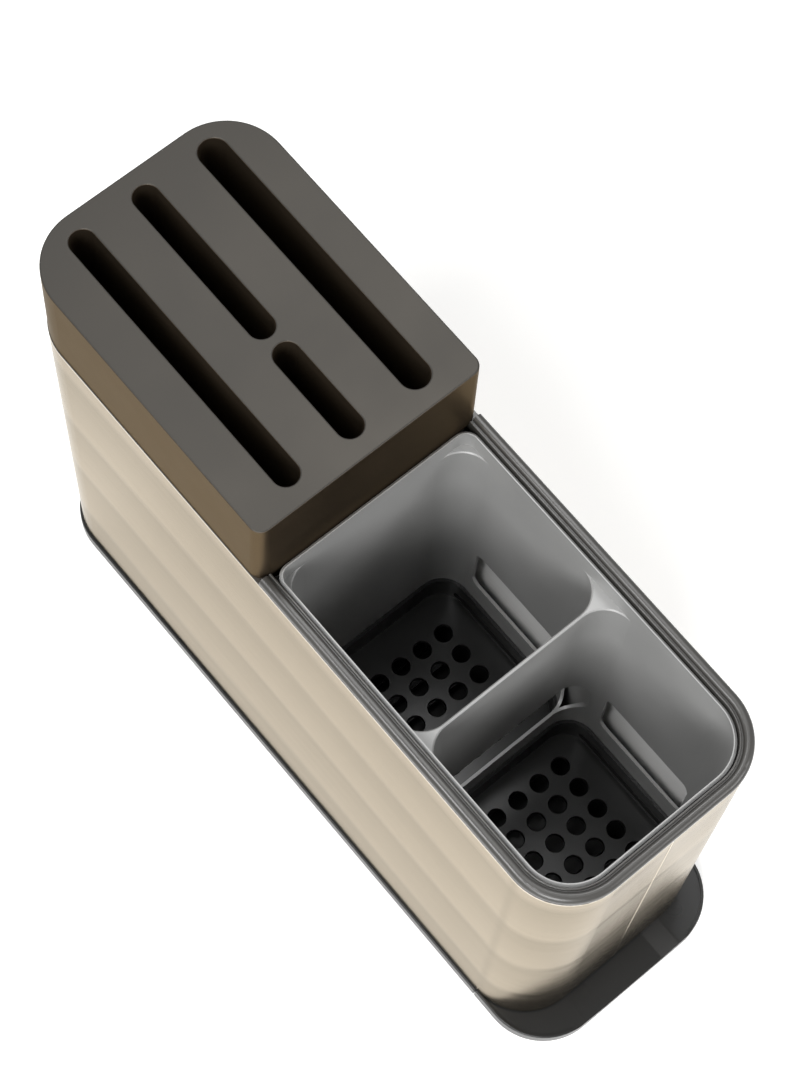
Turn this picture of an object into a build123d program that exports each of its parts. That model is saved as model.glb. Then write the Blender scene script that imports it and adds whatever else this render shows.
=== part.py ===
"""Knife and cutlery drainer: a steel sleeve on a plastic base with a pull-out drip tray,
a lift-out two-well cutlery caddy at the front and a lift-off slotted knife block at the rear.

Millimetres. +Z is up, -Y is the front end with the tray's lip, and the origin is on the table
at the middle of the outline.
"""
import os

from build123d import *

# Steel sleeve
sleeve_length = 293.0
sleeve_width = 100.0
sleeve_height = 177.0
sleeve_corner = 24.3
sleeve_gauge = 0.7
seam_width = 0.9
seam_height = 0.15

# Base frame that carries the sleeve
base_height = 9.0
base_proud = 1.05
base_side = 4.05
shadow_gap = 1.6
neck_inset = 0.25
upstand_height = 10.0
upstand_wall = 2.0
deck_rise = 0.6
deck_thickness = 2.4
deck_slot_length = 60.0
deck_slot_width = 5.0
deck_slot_pitch = 10.0
runner_width = 7.0
runner_thickness = 1.2
foot_height = 1.5
foot_radius = 4.0
foot_inset = 34.0

# Drip tray
lip_reach = 12.9
lip_corner = 24.9
lip_height = 6.7
cheek_depth = 24.2
dish_depth = 0.8
dish_border = 1.1
tray_wall = 1.6
tray_floor = 1.2
tray_front_wall = 1.5
channel_width = 30.0
channel_slope = 9.5
channel_depth = 3.0
channel_round = 5.0
border_fade = 4.0

# Top rim on the sleeve
rim_width = 5.25
rim_height = 4.6
flange_setback = 0.05
flange_height = 0.5
groove_height = 1.1
groove_depth = 1.3
bead_proud = 0.15
bead_width = 4.0
bead_round = 2.0
bead_inner_round = 1.4
valley_drop = 1.5
inner_lip_width = 0.9
inner_lip_drop = 0.8
inner_lip_round = 0.35
ledge_thickness = 0.8
skirt_depth = 12.0
skirt_wall = 1.5

# Cutlery caddy
caddy_length = 151.7
caddy_wall = 1.3
caddy_edge_break = 0.9
caddy_top_drop = 2.0
deck_drop = 7.0
deck_edge = 0.5
divider_place = 73.1
divider_wall = 1.2
well_corner = 12.0
caddy_rear_corner = 6.0
window_low = 65.0
window_height = 30.0
window_length = 46.0
window_corner = 4.0
divider_window_width = 84.0
divider_window_corner = 8.0
deck_skin = 1.6

# Perforated drain plates in the caddy's wells
plate_top = 37.0
plate_thickness = 2.0
plate_border = 1.3
plate_border_height = 14.0
gutter_width = 2.4
gutter_depth = 0.8
plate_ledge = 2.2
ledge_height = 3.0
hole_diameter = 7.2
hole_pitch = 11.06
hole_columns = 6
hole_rows = 5
hole_edge = 12.9
drain_slot_height = 4.6
drain_slot_rise = 0.6
drain_slot_margin = 8.0

# Knife block
block_height = 41.7
block_front_corner = 5.2
block_draft = 0.55
block_wall = 2.9
block_top_thickness = 3.0
block_web = 2.4
collar_depth = 10.0
collar_wall = 1.6
collar_front_corner = 3.2
slot_tube_wall = 1.4
left_slot_width = 9.8
left_slot_x = -27.6
middle_slot_width = 10.0
right_slot_width = 11.4
right_slot_x = 29.0
slot_front_margin = 8.0
slot_rear_margin = 7.5
short_slot_length = 43.0
slot_bridge = 4.0

# Clearances and edge breaks
snug = 0.1
slide_gap = 0.4
seat_gap = 0.3
lift_gap = 0.45
small_edge = 0.3
soft_edge = 0.6

# Places worked out from the sizes
front_y = lip_reach - (sleeve_length + lip_reach + base_proud) / 2
rear_y = front_y + sleeve_length
sleeve_top = base_height + sleeve_height
base_width = sleeve_width + 2 * base_proud
channel_between_sides = base_width - 2 * base_side
deck_bottom = base_height + deck_rise
deck_top = deck_bottom + deck_thickness
strip_front = front_y + cheek_depth + slide_gap
strip_top = base_height - shadow_gap
opening_width = sleeve_width - 2 * rim_width
bore_width = sleeve_width - 2 * sleeve_gauge
caddy_width = opening_width - 2 * lift_gap
caddy_front = front_y + rim_width + lift_gap
caddy_rear = caddy_front + caddy_length
caddy_corner = sleeve_corner - rim_width - lift_gap
caddy_bottom = deck_top + seat_gap
caddy_top = sleeve_top + rim_height - caddy_top_drop
caddy_deck = sleeve_top - deck_drop
well_width = caddy_width - 2 * caddy_wall
well_front = caddy_front + caddy_wall
divider_front = well_front + divider_place
divider_rear = divider_front + divider_wall
well_rear = caddy_rear - caddy_wall
ledge_top = plate_top - plate_thickness
block_front = caddy_rear + slide_gap
block_bottom = sleeve_top + ledge_thickness
block_top = block_bottom + block_height
tray_bottom = foot_height + runner_thickness + seat_gap
lip_top = foot_height + lip_height
dish_top = lip_top - dish_depth


def plan(front, rear, width, front_radius, rear_radius, mode=Mode.ADD):
    """Add a plan outline, straight sided, with its own front and rear corner radii."""
    with BuildSketch(Plane.XY, mode=Mode.PRIVATE) as shape:
        with Locations((0, (front + rear) / 2)):
            Rectangle(width, rear - front)
        fillet(shape.vertices().group_by(Axis.Y)[-1], rear_radius)
        fillet(shape.vertices().group_by(Axis.Y)[0], front_radius)
    add(shape.sketch, mode=mode)


def sleeve_plan(inset, mode=Mode.ADD):
    """Add the sleeve's outline, moved inwards by the inset."""
    corner = sleeve_corner - inset
    width = sleeve_width - 2 * inset
    plan(front_y + inset, rear_y - inset, width, corner, corner, mode)


def well_plan(front, rear, inset, front_radius, mode=Mode.ADD):
    """Add one well's outline, moved inwards by the inset."""
    plan(
        front + inset,
        rear - inset,
        well_width - 2 * inset,
        front_radius - inset,
        well_corner - inset,
        mode,
    )


def caddy_plan(inset, mode=Mode.ADD):
    """Add the caddy's outline, moved inwards by the inset."""
    plan(
        caddy_front + inset,
        caddy_rear - inset,
        caddy_width - 2 * inset,
        caddy_corner - inset,
        caddy_rear_corner - inset,
        mode,
    )


# Each well as its front face, rear face and front corner radius
front_well = (well_front, divider_front, caddy_corner - caddy_wall)
rear_well = (divider_rear, well_rear, well_corner)


# Steel sleeve: a tube bent from sheet, welded at the middle of the front end
with BuildPart() as sleeve:
    with BuildSketch(Plane.XY.offset(base_height)):
        sleeve_plan(0)
        with Locations((0, front_y)):
            Ellipse(seam_width / 2, seam_height)
        sleeve_plan(sleeve_gauge, mode=Mode.SUBTRACT)
    extrude(amount=sleeve_height)
sleeve.part.label = "sleeve"


# Base frame: side strips, neck, upstand inside the sleeve, drain deck and tray runners
with BuildPart() as base_frame:
    tray_way_rear = rear_y - base_side
    tray_way_corner = sleeve_corner - base_side
    with BuildSketch(Plane.XY.offset(foot_height)):
        sleeve_plan(-base_proud)
        plan(
            front_y - lip_reach,
            tray_way_rear,
            channel_between_sides,
            small_edge,
            tray_way_corner,
            mode=Mode.SUBTRACT,
        )
    extrude(amount=strip_top - foot_height)
    outer_edges = base_frame.faces().sort_by(Axis.Z)[-1].outer_wire().edges()
    fillet(outer_edges, soft_edge)
    with BuildSketch(Plane.XY.offset(strip_top)):
        sleeve_plan(neck_inset)
        plan(
            front_y - lip_reach,
            tray_way_rear,
            channel_between_sides,
            small_edge,
            tray_way_corner,
            mode=Mode.SUBTRACT,
        )
    extrude(amount=base_height - strip_top)
    with BuildSketch(Plane.XY.offset(foot_height)):
        plan(front_y, rear_y - base_side / 2, base_width - base_side, small_edge, tray_way_corner)
        with Locations((0, (front_y + rear_y) / 2 - runner_width)):
            Rectangle(
                channel_between_sides - 2 * runner_width,
                sleeve_length - runner_width,
                mode=Mode.SUBTRACT,
            )
    extrude(amount=runner_thickness)
    with Locations((0, strip_front, foot_height)):
        Box(
            base_width + base_side,
            sleeve_length,
            base_height - foot_height,
            align=(Align.CENTER, Align.MAX, Align.MIN),
            mode=Mode.SUBTRACT,
        )
    with BuildSketch(Plane.XY.offset(base_height)):
        sleeve_plan(sleeve_gauge + snug)
        sleeve_plan(sleeve_gauge + snug + upstand_wall, mode=Mode.SUBTRACT)
    extrude(amount=upstand_height)
    with BuildSketch(Plane.XY.offset(deck_bottom)):
        sleeve_plan(sleeve_gauge + snug + upstand_wall / 2)
        slot_count = int((sleeve_length - 2 * sleeve_corner) // deck_slot_pitch)
        with Locations((0, (front_y + rear_y) / 2)):
            with GridLocations(1, deck_slot_pitch, 1, slot_count):
                SlotOverall(deck_slot_length, deck_slot_width, mode=Mode.SUBTRACT)
    extrude(amount=deck_thickness)
base_frame.part.label = "base_frame"


# Four rubber feet under the side strips
with BuildPart() as feet:
    foot_x = base_width / 2 - base_side / 2 - foot_radius
    foot_span = sleeve_length - foot_inset - cheek_depth - foot_radius * 2
    foot_middle = (strip_front + foot_radius * 2 + rear_y - foot_inset) / 2
    with BuildSketch(Plane.XY):
        with Locations((0, foot_middle)):
            with GridLocations(2 * foot_x, foot_span, 2, 2):
                Circle(foot_radius)
    extrude(amount=foot_height)
    chamfer(feet.faces().group_by(Axis.Z)[0].edges(), small_edge)
feet.part.label = "feet"


# Drip tray: a shallow pan on the runners, with a full-width lip and a central spout channel
with BuildPart() as drip_tray:
    pan_rear = rear_y - base_side - slide_gap
    pan_width = channel_between_sides - 2 * slide_gap
    pan_corner = sleeve_corner - base_side - slide_gap
    pocket_front = front_y + dish_border + tray_front_wall
    with BuildSketch(Plane.XY.offset(foot_height)):
        plan(
            front_y - lip_reach,
            front_y + cheek_depth,
            base_width,
            lip_corner,
            small_edge,
        )
    extrude(amount=lip_height)
    lip_edges = drip_tray.edges().group_by(Axis.Z)[-1].sort_by(Axis.Y)[:-1]
    fillet(lip_edges, soft_edge)
    with BuildSketch(Plane.XY.offset(tray_bottom)):
        plan(front_y, pan_rear, pan_width, small_edge, pan_corner)
    extrude(amount=lip_top - tray_bottom)
    with BuildSketch(Plane.XY.offset(lip_top)):
        plan(
            front_y - lip_reach + dish_border,
            front_y + cheek_depth - dish_border,
            base_width - 2 * dish_border,
            lip_corner - dish_border,
            small_edge,
        )
    extrude(amount=-dish_depth, mode=Mode.SUBTRACT)
    with BuildSketch(Plane.XY.offset(lip_top)):
        plan(
            pocket_front,
            pan_rear - tray_wall,
            pan_width - 2 * tray_wall,
            well_corner,
            pan_corner - tray_wall,
        )
    extrude(amount=-(lip_top - tray_bottom - tray_floor), mode=Mode.SUBTRACT)
    channel_edge = channel_width / 2 + channel_slope
    with BuildSketch(Plane.XZ.offset(-pocket_front - tray_wall)) as channel:
        with BuildLine():
            Polyline(
                (0, lip_top - channel_depth),
                (channel_width / 2, lip_top - channel_depth),
                (channel_edge, dish_top),
                (channel_edge + border_fade, dish_top),
                (channel_edge + 2 * border_fade, lip_top),
                (channel_edge + 2 * border_fade, lip_top + channel_depth),
                (0, lip_top + channel_depth),
                close=True,
            )
        make_face()
        bends = channel.vertices().filter_by(lambda v: 0 < v.X < channel_edge + border_fade / 2)
        fillet(bends, channel_round)
        mirror(about=Plane.YZ)
    extrude(amount=lip_reach + pocket_front - front_y + 2 * tray_wall, mode=Mode.SUBTRACT)
drip_tray.part.label = "drip_tray"


# Top rim: a flange on the steel's edge, a shadow groove, a round bead and a fine inner lip round
# the front opening, a low ledge under the block and a skirt in the sleeve
with BuildPart() as top_rim:
    bead_bottom = sleeve_top + flange_height + groove_height
    bead_height = sleeve_top + rim_height - bead_bottom
    with BuildSketch(Plane.XY.offset(bead_bottom)):
        sleeve_plan(-bead_proud)
        sleeve_plan(rim_width, mode=Mode.SUBTRACT)
    extrude(amount=bead_height - valley_drop)
    with BuildSketch(Plane.XY.offset(bead_bottom)):
        sleeve_plan(-bead_proud)
        sleeve_plan(bead_width - bead_proud, mode=Mode.SUBTRACT)
    extrude(amount=bead_height)
    fillet(top_rim.faces().sort_by(Axis.Z)[-1].outer_wire().edges(), bead_round)
    fillet(top_rim.faces().sort_by(Axis.Z)[-1].inner_wires()[0].edges(), bead_inner_round)
    fillet(top_rim.faces().sort_by(Axis.Z)[0].outer_wire().edges(), small_edge)
    with BuildSketch(Plane.XY.offset(bead_bottom)):
        sleeve_plan(rim_width - inner_lip_width)
        sleeve_plan(rim_width, mode=Mode.SUBTRACT)
    extrude(amount=bead_height - inner_lip_drop)
    lip_level = bead_bottom + bead_height - inner_lip_drop
    level_faces = top_rim.faces().filter_by(Plane.XY)
    lip_face = level_faces.filter_by_position(Axis.Z, lip_level - snug, lip_level + snug)[0]
    fillet(lip_face.edges(), inner_lip_round)
    with BuildSketch(Plane.XY.offset(sleeve_top)):
        sleeve_plan(groove_depth)
        sleeve_plan(rim_width, mode=Mode.SUBTRACT)
    extrude(amount=flange_height + groove_height)
    with BuildSketch(Plane.XY.offset(sleeve_top)):
        sleeve_plan(flange_setback)
        sleeve_plan(rim_width, mode=Mode.SUBTRACT)
    extrude(amount=flange_height)
    with Locations((0, block_front - seat_gap, sleeve_top)):
        Box(
            2 * sleeve_width,
            sleeve_length,
            2 * rim_height,
            align=(Align.CENTER, Align.MIN, Align.MIN),
            mode=Mode.SUBTRACT,
        )
    with BuildSketch(Plane.XY.offset(sleeve_top)):
        sleeve_plan(0)
        sleeve_plan(rim_width, mode=Mode.SUBTRACT)
        with Locations((0, block_front - seat_gap)):
            Rectangle(
                2 * sleeve_width,
                sleeve_length,
                align=(Align.CENTER, Align.MAX),
                mode=Mode.SUBTRACT,
            )
    extrude(amount=ledge_thickness)
    with BuildSketch(Plane.XY.offset(sleeve_top)):
        sleeve_plan(sleeve_gauge + snug)
        sleeve_plan(rim_width, mode=Mode.SUBTRACT)
    extrude(amount=-skirt_wall)
    with BuildSketch(Plane.XY.offset(sleeve_top)):
        sleeve_plan(sleeve_gauge + snug)
        sleeve_plan(sleeve_gauge + snug + skirt_wall, mode=Mode.SUBTRACT)
    extrude(amount=-skirt_depth)
top_rim.part.label = "top_rim"


# Cutlery caddy: a thin shell round two wells, a divider with triangular decks at its ends,
# and windows and drain slots low in its walls
with BuildPart() as caddy:
    with BuildSketch(Plane.XY.offset(caddy_bottom)):
        caddy_plan(0)
        caddy_plan(caddy_wall, mode=Mode.SUBTRACT)
        for front, rear, front_radius in (front_well, rear_well):
            well_plan(front, rear, -divider_wall, front_radius)
        for front, rear, front_radius in (front_well, rear_well):
            well_plan(front, rear, 0, front_radius, mode=Mode.SUBTRACT)
    extrude(amount=caddy_top - caddy_bottom)
    with BuildSketch(Plane.XY.offset(caddy_deck)):
        caddy_plan(caddy_wall)
    extrude(amount=caddy_top - caddy_deck, mode=Mode.SUBTRACT)
    chamfer(caddy.faces().sort_by(Axis.Z)[-1].outer_wire().edges(), caddy_edge_break)
    with BuildSketch(Plane.XY.offset(caddy_deck)):
        caddy_plan(caddy_wall / 2)
        for front, rear, front_radius in (front_well, rear_well):
            well_plan(front, rear, 0, front_radius, mode=Mode.SUBTRACT)
    extrude(amount=-deck_skin)
    for front, rear, front_radius in (front_well, rear_well):
        with BuildPart(mode=Mode.PRIVATE) as edge_break:
            with BuildSketch(Plane.XY.offset(caddy_deck - deck_edge)):
                well_plan(front, rear, 0, front_radius)
            with BuildSketch(Plane.XY.offset(caddy_deck)):
                well_plan(front, rear, -deck_edge, front_radius)
            loft(ruled=True)
            with BuildSketch(Plane.XY.offset(caddy_deck - deck_edge)):
                caddy_plan(caddy_wall)
            extrude(amount=deck_edge, mode=Mode.INTERSECT)
        add(edge_break.part, mode=Mode.SUBTRACT)
    with BuildSketch(Plane.XY.offset(ledge_top)):
        for front, rear, front_radius in (front_well, rear_well):
            well_plan(front, rear, -divider_wall / 2, front_radius)
        for front, rear, front_radius in (front_well, rear_well):
            well_plan(front, rear, plate_ledge, front_radius, mode=Mode.SUBTRACT)
    extrude(amount=-ledge_height)
    for front, rear, front_radius in (front_well, rear_well):
        middle = (front + rear) / 2
        with BuildSketch(Plane.YZ.offset(-caddy_width)):
            with Locations((middle, window_low + window_height / 2)):
                RectangleRounded(window_length, window_height, window_corner)
            with Locations((middle, plate_top + drain_slot_rise + drain_slot_height / 2)):
                SlotOverall(rear - front - 2 * drain_slot_margin, drain_slot_height)
        extrude(amount=2 * caddy_width, mode=Mode.SUBTRACT)
    with BuildSketch(Plane.XZ.offset(-divider_rear - well_corner + caddy_wall)):
        with Locations((0, window_low + window_height / 2)):
            RectangleRounded(divider_window_width, window_height, divider_window_corner)
    extrude(amount=2 * (well_corner - caddy_wall) + divider_wall, mode=Mode.SUBTRACT)
caddy.part.label = "caddy"


def drain_plate(well, first_row):
    """Make the perforated plate of one well; the rows step back from the divider."""
    front, rear, front_radius = well
    with BuildPart() as plate:
        with BuildSketch(Plane.XY.offset(ledge_top)):
            well_plan(front, rear, snug, front_radius)
        extrude(amount=plate_thickness + plate_border_height)
        with BuildSketch(Plane.XY.offset(plate_top)):
            well_plan(front, rear, snug + plate_border, front_radius)
        extrude(amount=plate_border_height, mode=Mode.SUBTRACT)
        with BuildSketch(Plane.XY.offset(plate_top)):
            well_plan(front, rear, snug + plate_border, front_radius)
            well_plan(front, rear, snug + plate_border + gutter_width, front_radius, mode=Mode.SUBTRACT)
        extrude(amount=-gutter_depth, mode=Mode.SUBTRACT)
        with BuildSketch(Plane.XY.offset(ledge_top)):
            with Locations((0, first_row)):
                with GridLocations(hole_pitch, hole_pitch, hole_columns, hole_rows):
                    Circle(hole_diameter / 2)
        extrude(amount=plate_thickness, mode=Mode.SUBTRACT)
        rings = plate.edges().filter_by(GeomType.CIRCLE).group_by(Axis.Z)
        top_rings = [e for ring in rings for e in ring if abs(e.center().Z - plate_top) < small_edge
                     and abs(e.radius - hole_diameter / 2) < small_edge / 2]
        chamfer(top_rings, small_edge)
        with BuildSketch(Plane.YZ.offset(-well_width)):
            with Locations(((front + rear) / 2, plate_top + drain_slot_rise + drain_slot_height / 2)):
                SlotOverall(rear - front - 2 * drain_slot_margin, drain_slot_height)
        extrude(amount=2 * well_width, mode=Mode.SUBTRACT)
    return plate


grid_half = hole_pitch * (hole_rows - 1) / 2
front_drain_plate = drain_plate(front_well, divider_front - hole_edge - grid_half)
front_drain_plate.part.label = "front_drain_plate"
rear_drain_plate = drain_plate(rear_well, divider_rear + hole_edge + grid_half)
rear_drain_plate.part.label = "rear_drain_plate"


# Knife block: a drafted cap on the rim's ledge, with a locating collar and a tube per slot
slot_front = block_front + slot_front_margin
slot_rear = rear_y - slot_rear_margin
long_length = slot_rear - slot_front
rear_slot_length = long_length - short_slot_length - slot_bridge
# Each slot as its place across, middle along the length, length and width
slots = (
    (left_slot_x, (slot_front + slot_rear) / 2, long_length, left_slot_width),
    (0, slot_front + short_slot_length / 2, short_slot_length, middle_slot_width),
    (0, slot_rear - rear_slot_length / 2, rear_slot_length, middle_slot_width),
    (right_slot_x, (slot_front + slot_rear) / 2, long_length, right_slot_width),
)
with BuildPart() as knife_block:
    block_width = sleeve_width - 2 * neck_inset
    block_rear = rear_y - neck_inset
    block_corner = sleeve_corner - neck_inset
    with BuildSketch(Plane.XY.offset(block_bottom)):
        plan(block_front, block_rear, block_width, block_front_corner, block_corner)
    with BuildSketch(Plane.XY.offset(block_top)):
        plan(
            block_front + block_draft,
            block_rear - block_draft,
            block_width - 2 * block_draft,
            block_front_corner - block_draft,
            block_corner - block_draft,
        )
    loft(ruled=True)
    fillet(knife_block.faces().sort_by(Axis.Z)[-1].edges(), soft_edge)
    with BuildSketch(Plane.XY.offset(block_bottom + block_web)):
        plan(
            block_front + block_wall,
            block_rear - block_wall,
            block_width - 2 * block_wall,
            block_front_corner - block_wall,
            block_corner - block_wall,
        )
    extrude(amount=block_height - block_web - block_top_thickness, mode=Mode.SUBTRACT)
    collar_front = block_front + block_wall / 2
    collar_rear = rear_y - rim_width - seat_gap
    collar_width = opening_width - 2 * seat_gap
    collar_corner = sleeve_corner - rim_width - seat_gap
    with BuildSketch(Plane.XY.offset(block_bottom + block_web)):
        plan(collar_front, collar_rear, collar_width, collar_front_corner, collar_corner)
    extrude(amount=-(collar_depth + block_web))
    with BuildSketch(Plane.XY.offset(block_bottom + block_web)):
        plan(
            collar_front + collar_wall,
            collar_rear - collar_wall,
            collar_width - 2 * collar_wall,
            collar_front_corner - collar_wall,
            collar_corner - collar_wall,
        )
    extrude(amount=-(collar_depth + block_web), mode=Mode.SUBTRACT)
    for x, y, length, width in slots:
        with BuildSketch(Plane.XY.offset(block_bottom - collar_depth)):
            with Locations((x, y)):
                SlotOverall(length + 2 * slot_tube_wall, width + 2 * slot_tube_wall, rotation=90)
        extrude(amount=collar_depth + block_height - block_top_thickness)
    for x, y, length, width in slots:
        with BuildSketch(Plane.XY.offset(block_bottom - collar_depth)):
            with Locations((x, y)):
                SlotOverall(length, width, rotation=90)
        extrude(amount=collar_depth + block_height, mode=Mode.SUBTRACT)
    for wire in knife_block.faces().sort_by(Axis.Z)[-1].inner_wires():
        fillet(wire.edges(), soft_edge)
knife_block.part.label = "knife_block"


os.makedirs("parts", exist_ok=True)
for piece in (
    sleeve,
    base_frame,
    feet,
    drip_tray,
    top_rim,
    caddy,
    front_drain_plate,
    rear_drain_plate,
    knife_block,
):
    export_step(piece.part, f"parts/{piece.part.label}.step")
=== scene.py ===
"""Studio scene of the cutlery drainer: camera, soft light, floor and a material for each node.

Metres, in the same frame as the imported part: +Z up, -Y the front end, origin on the table.
"""
import math

import bpy
from mathutils import Matrix, Vector


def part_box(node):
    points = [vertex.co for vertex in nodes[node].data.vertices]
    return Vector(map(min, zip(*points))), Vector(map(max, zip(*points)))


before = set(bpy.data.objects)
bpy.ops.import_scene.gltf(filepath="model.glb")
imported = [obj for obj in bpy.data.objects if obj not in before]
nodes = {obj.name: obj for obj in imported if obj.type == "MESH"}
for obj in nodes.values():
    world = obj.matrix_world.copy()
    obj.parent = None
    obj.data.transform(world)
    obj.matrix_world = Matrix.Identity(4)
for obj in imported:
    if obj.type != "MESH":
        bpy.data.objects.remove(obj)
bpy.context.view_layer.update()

# Photograph's view: place, turn, height and roll of the camera
image_height = 1092
focal_pixels = 2691.0
sensor = 36.0
nearest_seen = 0.05
camera_place = Vector((-0.2432, -0.2346, 1.0538))
camera_azimuth = math.radians(-45.81)
camera_elevation = math.radians(68.95)
camera_roll = math.radians(6.28)

# Surroundings
floor_size = 6.0
floor_white = (0.86, 0.86, 0.85)
floor_glow = 0.3
world_light = 0.3
world_seen = 1.0

# Lamps: name, place, target, side and power
lamps = (
    ("key", (-0.9, -0.75, 0.9), (0.0, -0.1, 0.12), 0.6, 18),
    ("overhead", (-0.62, 0.05, 1.25), (0.03, -0.1, 0.1), 0.5, 11),
    ("front", (0.55, -0.95, 0.85), (0.0, -0.05, 0.18), 0.5, 5.5),
    ("rear", (0.4, 0.4, 1.5), (0.0, 0.0, 0.2), 0.45, 7),
)

# Colours
steel_colour = (0.375, 0.336, 0.283)
steel_edge = (0.645, 0.607, 0.548)
bare_steel = (0.97, 0.965, 0.95)
# Colour of the weld's pale line and of the painted highlight along the sleeve's top edge
weld_and_edge_highlight = (0.93, 0.88, 0.8)
block_walls = (0.09, 0.068, 0.046)
block_lid = (0.026, 0.0255, 0.0245)
block_edge = (0.5, 0.45, 0.38)
dark_base = (0.009, 0.009, 0.0088)
rim_base = (0.03, 0.0285, 0.026)
caddy_base = (0.262, 0.262, 0.258)
rubber_base = (0.03, 0.03, 0.03)

# Noises on the steel, in waves a metre
drift_waves = 7
tone_waves = 14
dent_waves = 70
brushing_waves = 2600

# Bands of painted reflection on the steel, whose pattern also makes a bump ripple: height, part
# of it that fades, waviness, share in the tone, darkest and palest tone, depth of the ripple
band_height = 0.047
band_fade = 0.86
band_drift = 0.016
band_share = 0.8
band_dark = 0.84
band_pale = 1.14
band_ripple = 0.0002

# Marks on the steel (the weld's pale line, painted shade lines beside the weld and where the
# front corners begin, a painted highlight along the top edge, dents): places, half widths,
# fades, shares and darkness
front_near = 0.0005
front_far = 0.002
weld_half = 0.00025
weld_fade = 0.00025
# Painted shade line beside the weld
weld_shade_place = 0.0007
weld_shade_half = 0.0003
weld_shade_fade = 0.0004
weld_shade_share = 0.5
weld_shade_dark = 0.45
# Painted shade line where the front corners begin
corner_shade_place = 0.0235
corner_shade_half = 0.0006
corner_shade_fade = 0.0022
corner_shade_share = 0.5
corner_shade_dark = 0.72
# Painted highlight along the top edge
top_highlight_start = 0.0016
top_highlight_full = 0.0006
top_highlight_share = 0.6
dent_place = 0.004
dent_half = 0.006
dent_fade = 0.016
dent_depth = 0.0005

# Middle part of a noise, where most of its values lie
noise_low = 0.3
noise_high = 0.7

# Fine grain of steel and plastics, in metres
grain_depth = 0.00002

# Plastics: flow clouds, moulded grain, changes of colour and sheen, metallic share of the walls
cloud_waves = 22
grain_waves = 2200
plastic_variation = 0.06
sheen_variation = 0.04
block_wall_metal = 0.9

# Specular level of the dark plastic, a little under that of the others
dark_reflection = 0.32

# Roughness
steel_smoothest = 0.15
steel_roughest = 0.24
dark_roughness = 0.3
rim_roughness = 0.32
caddy_roughness = 0.36
block_roughness = 0.4
rubber_roughness = 0.7

low_sleeve, high_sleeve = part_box("sleeve")


def add_camera():
    """Place the camera from its azimuth, elevation and roll."""
    back = Vector((
        math.sin(camera_azimuth) * math.cos(camera_elevation),
        -math.cos(camera_azimuth) * math.cos(camera_elevation),
        math.sin(camera_elevation),
    ))
    level_right = (-back).cross(Vector((0, 0, 1))).normalized()
    level_up = level_right.cross(-back)
    right = level_right * math.cos(camera_roll) + level_up * math.sin(camera_roll)
    up = level_up * math.cos(camera_roll) - level_right * math.sin(camera_roll)
    data = bpy.data.cameras.new("camera")
    data.sensor_width = sensor
    data.lens = focal_pixels * sensor / image_height
    data.clip_start = nearest_seen
    camera = bpy.data.objects.new("camera", data)
    turn = Matrix((right, up, back)).transposed().to_4x4()
    camera.matrix_world = Matrix.Translation(camera_place) @ turn
    bpy.context.scene.collection.objects.link(camera)
    bpy.context.scene.camera = camera


def add_softbox(name, place, target, side, power):
    """Add a square lamp at a place, aimed at a target."""
    data = bpy.data.lights.new(name, "AREA")
    data.shape = "RECTANGLE"
    data.size = side
    data.size_y = side
    data.energy = power
    lamp = bpy.data.objects.new(name, data)
    aim = Vector(target) - Vector(place)
    turn = aim.to_track_quat("-Z", "Y").to_matrix().to_4x4()
    lamp.matrix_world = Matrix.Translation(place) @ turn
    bpy.context.scene.collection.objects.link(lamp)


def add_seen(tree):
    """1 for rays from the camera, in reflections and through clear things, 0 for the rest."""
    path = tree.nodes.new("ShaderNodeLightPath")
    seen = path.outputs["Is Camera Ray"]
    for kind in ("Is Glossy Ray", "Is Transmission Ray"):
        either = tree.nodes.new("ShaderNodeMath")
        either.operation = "MAXIMUM"
        tree.links.new(seen, either.inputs[0])
        tree.links.new(path.outputs[kind], either.inputs[1])
        seen = either.outputs[0]
    return seen


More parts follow.
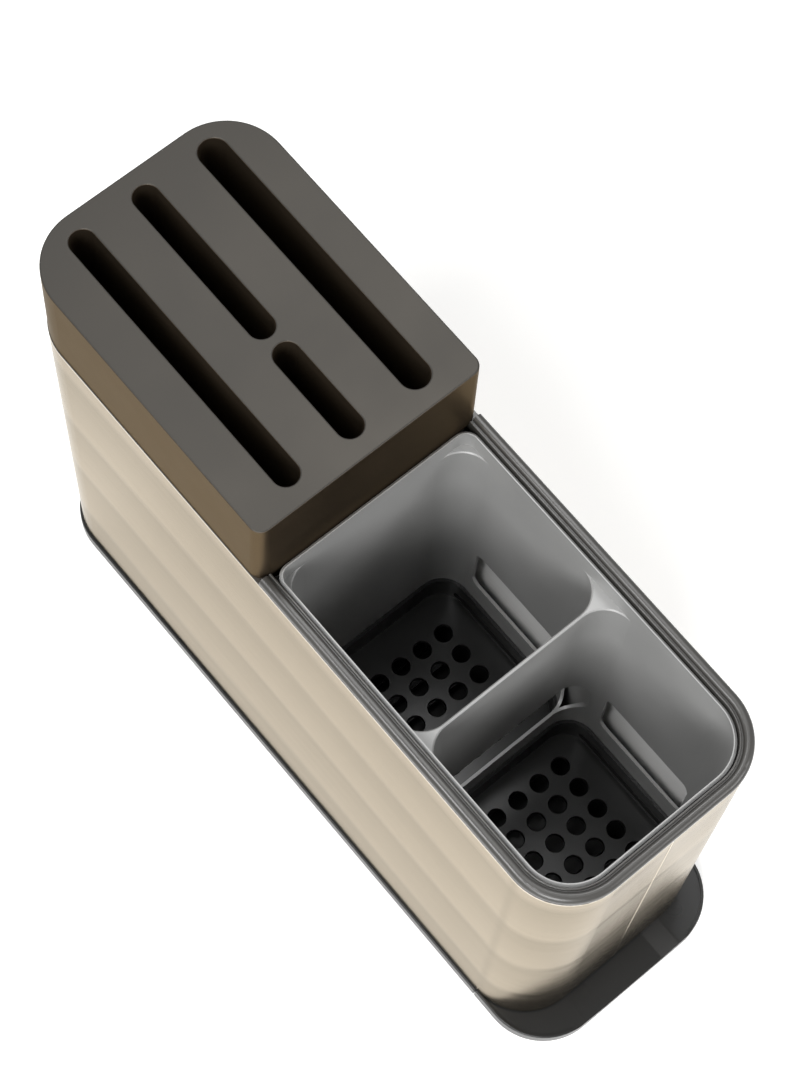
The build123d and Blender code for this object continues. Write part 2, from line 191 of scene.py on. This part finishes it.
class Shader:
    """A material's node tree with short calls for the nodes used here."""

    def __init__(self, name):
        self.material = bpy.data.materials.new(name)
        self.material.use_nodes = True
        self.tree = self.material.node_tree
        self.tree.nodes.clear()
        self.output = self.node("ShaderNodeOutputMaterial")

    def node(self, kind, **settings):
        """Add a node; settings are its attributes."""
        made = self.tree.nodes.new(kind)
        for key, value in settings.items():
            setattr(made, key, value)
        return made

    def join(self, source, target):
        """Link an output socket to an input socket."""
        self.tree.links.new(source, target)

    def coordinate(self, name):
        """Object coordinates or the normal, by the name of the output."""
        return self.node("ShaderNodeTexCoord").outputs[name]

    def noise(self, scale, stretch=(1, 1, 1), detail=2.0, roughness=0.5):
        """Noise of so many waves a metre, stretched by a scale for each axis."""
        mapping = self.node("ShaderNodeMapping")
        mapping.inputs["Scale"].default_value = stretch
        self.join(self.coordinate("Object"), mapping.inputs["Vector"])
        made = self.node("ShaderNodeTexNoise")
        made.inputs["Scale"].default_value = scale
        made.inputs["Detail"].default_value = detail
        made.inputs["Roughness"].default_value = roughness
        self.join(mapping.outputs["Vector"], made.inputs["Vector"])
        return made.outputs["Fac"]

    def span(self, source, low, high, start=0.0, end=1.0):
        """Map a source from low..high to start..end, held at both ends."""
        made = self.node("ShaderNodeMapRange")
        made.inputs["From Min"].default_value = low
        made.inputs["From Max"].default_value = high
        made.inputs["To Min"].default_value = start
        made.inputs["To Max"].default_value = end
        self.join(source, made.inputs["Value"])
        return made.outputs["Result"]

    def colours(self, source, low, high):
        """A ramp between two (place, colour) stops."""
        made = self.node("ShaderNodeValToRGB")
        for element, (position, colour) in zip(made.color_ramp.elements, (low, high)):
            element.position = position
            element.color = (*colour, 1)
        self.join(source, made.inputs["Fac"])
        return made.outputs["Color"]

    def varied(self, source, colour, variation):
        """A colour that a noise makes a little lighter and darker."""
        return self.colours(
            source,
            (noise_low, scaled(colour, 1 - variation)),
            (noise_high, scaled(colour, 1 + variation)),
        )

    def bump(self, height, distance, strength, under=None):
        """A bump of a distance in metres, on top of another one."""
        made = self.node("ShaderNodeBump")
        made.inputs["Strength"].default_value = strength
        made.inputs["Distance"].default_value = distance
        self.join(height, made.inputs["Height"])
        if under is not None:
            self.join(under, made.inputs["Normal"])
        return made.outputs["Normal"]

    def part(self, axis, name="Object"):
        """One of the object coordinates, or of another coordinate output."""
        made = self.node("ShaderNodeSeparateXYZ")
        self.join(self.coordinate(name), made.inputs[0])
        return made.outputs[axis]

    def maths(self, operation, first, second):
        """One step of arithmetic on sockets or numbers."""
        made = self.node("ShaderNodeMath", operation=operation)
        for socket, value in zip(made.inputs, (first, second)):
            if isinstance(value, (int, float)):
                socket.default_value = value
            else:
                self.join(value, socket)
        return made.outputs[0]

    def times(self, first, second):
        """A product of sockets or numbers."""
        return self.maths("MULTIPLY", first, second)

    def near(self, source, middle, reach, fade):
        """1 within reach of a value, fading to 0."""
        offset = self.maths("ABSOLUTE", self.maths("SUBTRACT", source, middle), 0)
        return self.span(offset, reach, reach + fade, 1, 0)

    def mix(self, factor, first, second):
        """Blend two colours by a factor."""
        made = self.node("ShaderNodeMix", data_type="RGBA")
        sockets = (made.inputs[0], made.inputs[6], made.inputs[7])
        for socket, value in zip(sockets, (factor, first, second)):
            if isinstance(value, tuple):
                socket.default_value = (*value, 1)
            else:
                self.join(value, socket)
        return made.outputs[2]

    def upward(self):
        """1 on level faces that look up, 0 on upright ones."""
        return self.span(self.part("Z", "Normal"), 0.25, 0.8)

    def outward(self, middle_y):
        """1 on faces that look away from the tube's middle, 0 on those that look into it."""
        centred = self.node("ShaderNodeVectorMath", operation="SUBTRACT")
        centred.inputs[1].default_value = (0, middle_y, 0)
        self.join(self.coordinate("Object"), centred.inputs[0])
        level = self.node("ShaderNodeVectorMath", operation="MULTIPLY")
        level.inputs[1].default_value = (1, 1, 0)
        self.join(centred.outputs[0], level.inputs[0])
        along = self.node("ShaderNodeVectorMath", operation="DOT_PRODUCT")
        self.join(level.outputs[0], along.inputs[0])
        self.join(self.coordinate("Normal"), along.inputs[1])
        return self.maths("GREATER_THAN", along.outputs["Value"], 0)

    def principled(self, **values):
        """The surface shader; values are its plain inputs."""
        made = self.node("ShaderNodeBsdfPrincipled")
        for key, value in values.items():
            made.inputs[key.replace("_", " ")].default_value = value
        self.join(made.outputs["BSDF"], self.output.inputs["Surface"])
        return made


def scaled(colour, factor):
    """A colour made lighter or darker."""
    return tuple(min(1.0, part * factor) for part in colour)


def steel_material():
    """Brushed champagne steel outside, pale and not metallic inside.

    Brushing runs round the tube. Soft wide bands of painted reflection lie one above the other,
    each paler towards its foot; the same bands also give a faint bump ripple. The sheet is a little
    uneven beside the weld, which is a fine pale line with a painted shade line next to it. A faint
    painted shade line marks where the front corners begin, and a painted highlight runs along the
    top edge.
    """
    shader = Shader("champagne_steel")
    across, along, height = (shader.part(axis) for axis in "XYZ")
    outside = shader.outward((low_sleeve.y + high_sleeve.y) / 2)
    brushing = shader.noise(brushing_waves, (0.004, 0.004, 1), 3.0, 0.6)

    # Bands of painted reflection, paler towards each band's foot; their pattern also drives the
    # bump ripple
    drift = shader.noise(drift_waves, (1, 1, 0.4), 1.0)
    level = shader.maths("ADD", height, shader.times(drift, band_drift))
    band = shader.maths("FRACT", shader.times(level, 1 / band_height), 0)
    falling = shader.span(band, 0, band_fade, 1, 0)
    rising = shader.span(band, band_fade, 1, 0, 1)
    bands = shader.maths("MAXIMUM", falling, rising)
    band_reflection_tone = shader.times(bands, band_share)
    cloud_tone = shader.times(shader.noise(tone_waves, (1, 1, 0.7), 2.0), 1 - band_share)
    tone = shader.maths("ADD", band_reflection_tone, cloud_tone)
    dark_tone = (0.1, scaled(steel_colour, band_dark))
    pale_tone = (0.9, scaled(steel_colour, band_pale))
    champagne = shader.colours(tone, dark_tone, pale_tone)

    front = shader.span(along, low_sleeve.y + front_near, low_sleeve.y + front_far, 1, 0)
    weld = shader.times(shader.near(across, 0, weld_half, weld_fade), front)
    # Painted shade: a dark line beside the weld
    weld_shade = shader.times(shader.near(across, weld_shade_place, weld_shade_half, weld_shade_fade), front)
    # Painted shade: a faint dark line where the front corners begin
    corner_shade = shader.near(along, low_sleeve.y + corner_shade_place, corner_shade_half, corner_shade_fade)
    # Painted highlight: a pale band along the top edge
    top_highlight = shader.span(height, high_sleeve.z - top_highlight_start, high_sleeve.z - top_highlight_full)
    # Mix the weld's pale line and the painted shade and highlight lines into the steel colour
    for mark, share, colour in (
        (corner_shade, corner_shade_share, scaled(steel_colour, corner_shade_dark)),
        (weld_shade, weld_shade_share, scaled(steel_colour, weld_shade_dark)),
        (top_highlight, top_highlight_share, weld_and_edge_highlight),
        (weld, 1, weld_and_edge_highlight),
    ):
        champagne = shader.mix(shader.times(mark, share), champagne, colour)

    bare = shader.colours(brushing, (noise_low, scaled(bare_steel, 0.95)), (noise_high, bare_steel))
    roughness = shader.span(brushing, noise_low, noise_high, steel_smoothest, steel_roughest)
    surface = shader.principled(Specular_Tint=(*steel_edge, 1))
    shader.join(shader.mix(outside, bare, champagne), surface.inputs["Base Color"])
    shader.join(outside, surface.inputs["Metallic"])
    shader.join(roughness, surface.inputs["Roughness"])

    uneven = shader.noise(dent_waves, (1, 0.3, 0.12), 2.0)
    beside_weld = shader.times(shader.near(across, dent_place, dent_half, dent_fade), front)
    dents = shader.bump(shader.times(uneven, beside_weld), dent_depth, 0.6)
    ripples = shader.bump(bands, band_ripple, 0.4, dents)
    shader.join(shader.bump(brushing, grain_depth, 0.35, ripples), surface.inputs["Normal"])
    return shader.material


def finish_plastic(shader, surface, clouds, roughness):
    """Give a plastic surface its uneven sheen and moulded grain."""
    low, high = roughness - sheen_variation, roughness + sheen_variation
    shader.join(shader.span(clouds, noise_low, noise_high, low, high), surface.inputs["Roughness"])
    grain = shader.noise(grain_waves, (1, 1, 1), 2.0, 0.55)
    shader.join(shader.bump(grain, grain_depth, 0.5), surface.inputs["Normal"])


def block_material():
    """Fine matt black top; upright walls brown-black and mostly metallic, so they mirror what
    stands before them; the two are told apart by which way a face looks.
    """
    shader = Shader("block_plastic")
    clouds = shader.noise(cloud_waves, (1, 1, 1), 3.0)
    top = shader.upward()
    walls = shader.varied(clouds, block_walls, plastic_variation)
    lid = shader.varied(clouds, block_lid, plastic_variation)
    surface = shader.principled(Specular_Tint=(*block_edge, 1))
    shader.join(shader.mix(top, walls, lid), surface.inputs["Base Color"])
    shader.join(shader.span(top, 0, 1, block_wall_metal, 0), surface.inputs["Metallic"])
    finish_plastic(shader, surface, clouds, block_roughness)
    return shader.material


def plastic_material(name, base, roughness, **values):
    """Moulded plastic: fine spark-eroded grain, faint flow clouds and uneven sheen."""
    shader = Shader(name)
    clouds = shader.noise(cloud_waves, (1, 1, 1), 3.0)
    surface = shader.principled(**values)
    shader.join(shader.varied(clouds, base, plastic_variation), surface.inputs["Base Color"])
    finish_plastic(shader, surface, clouds, roughness)
    return shader.material


def floor_material():
    """White tabletop: takes the object's shadow and glows a little to camera and reflections."""
    shader = Shader("floor")
    diffuse = shader.node("ShaderNodeBsdfDiffuse")
    diffuse.inputs["Color"].default_value = (*floor_white, 1)
    glow = shader.node("ShaderNodeEmission")
    shader.join(shader.times(add_seen(shader.tree), floor_glow), glow.inputs["Strength"])
    both = shader.node("ShaderNodeAddShader")
    shader.join(diffuse.outputs[0], both.inputs[0])
    shader.join(glow.outputs[0], both.inputs[1])
    shader.join(both.outputs[0], shader.output.inputs["Surface"])
    return shader.material


def add_floor():
    """A wide floor under the object."""
    half = floor_size / 2
    mesh = bpy.data.meshes.new("floor")
    mesh.from_pydata(
        [(-half, -half, 0), (half, -half, 0), (half, half, 0), (-half, half, 0)],
        [],
        [(0, 1, 2, 3)],
    )
    floor = bpy.data.objects.new("floor", mesh)
    mesh.materials.append(floor_material())
    bpy.context.scene.collection.objects.link(floor)


def add_world():
    """Even pale light all round, pure white where the camera or a reflection sees it."""
    world = bpy.data.worlds.new("studio")
    bpy.context.scene.world = world
    world.use_nodes = True
    tree = world.node_tree
    tree.nodes.clear()
    output = tree.nodes.new("ShaderNodeOutputWorld")
    background = tree.nodes.new("ShaderNodeBackground")
    strength = tree.nodes.new("ShaderNodeMapRange")
    strength.inputs["To Min"].default_value = world_light
    strength.inputs["To Max"].default_value = world_seen
    tree.links.new(add_seen(tree), strength.inputs["Value"])
    tree.links.new(strength.outputs["Result"], background.inputs["Strength"])
    background.inputs["Color"].default_value = (1, 1, 1, 1)
    tree.links.new(background.outputs[0], output.inputs["Surface"])


def dress(name, material):
    """Give a node its material in every slot."""
    for slot in nodes[name].material_slots:
        slot.material = material


bpy.context.scene.view_settings.view_transform = "Standard"
add_camera()
add_world()
add_floor()
for lamp_values in lamps:
    add_softbox(*lamp_values)

dark_plastic = plastic_material(
    "dark_plastic", dark_base, dark_roughness, Specular_IOR_Level=dark_reflection
)
dress("sleeve", steel_material())
dress("top_rim", plastic_material("rim_plastic", rim_base, rim_roughness))
dress("caddy", plastic_material("caddy_plastic", caddy_base, caddy_roughness))
dress("knife_block", block_material())
for dark_node in ("base_frame", "drip_tray", "front_drain_plate", "rear_drain_plate"):
    dress(dark_node, dark_plastic)
dress("feet", plastic_material("foot_rubber", rubber_base, rubber_roughness))
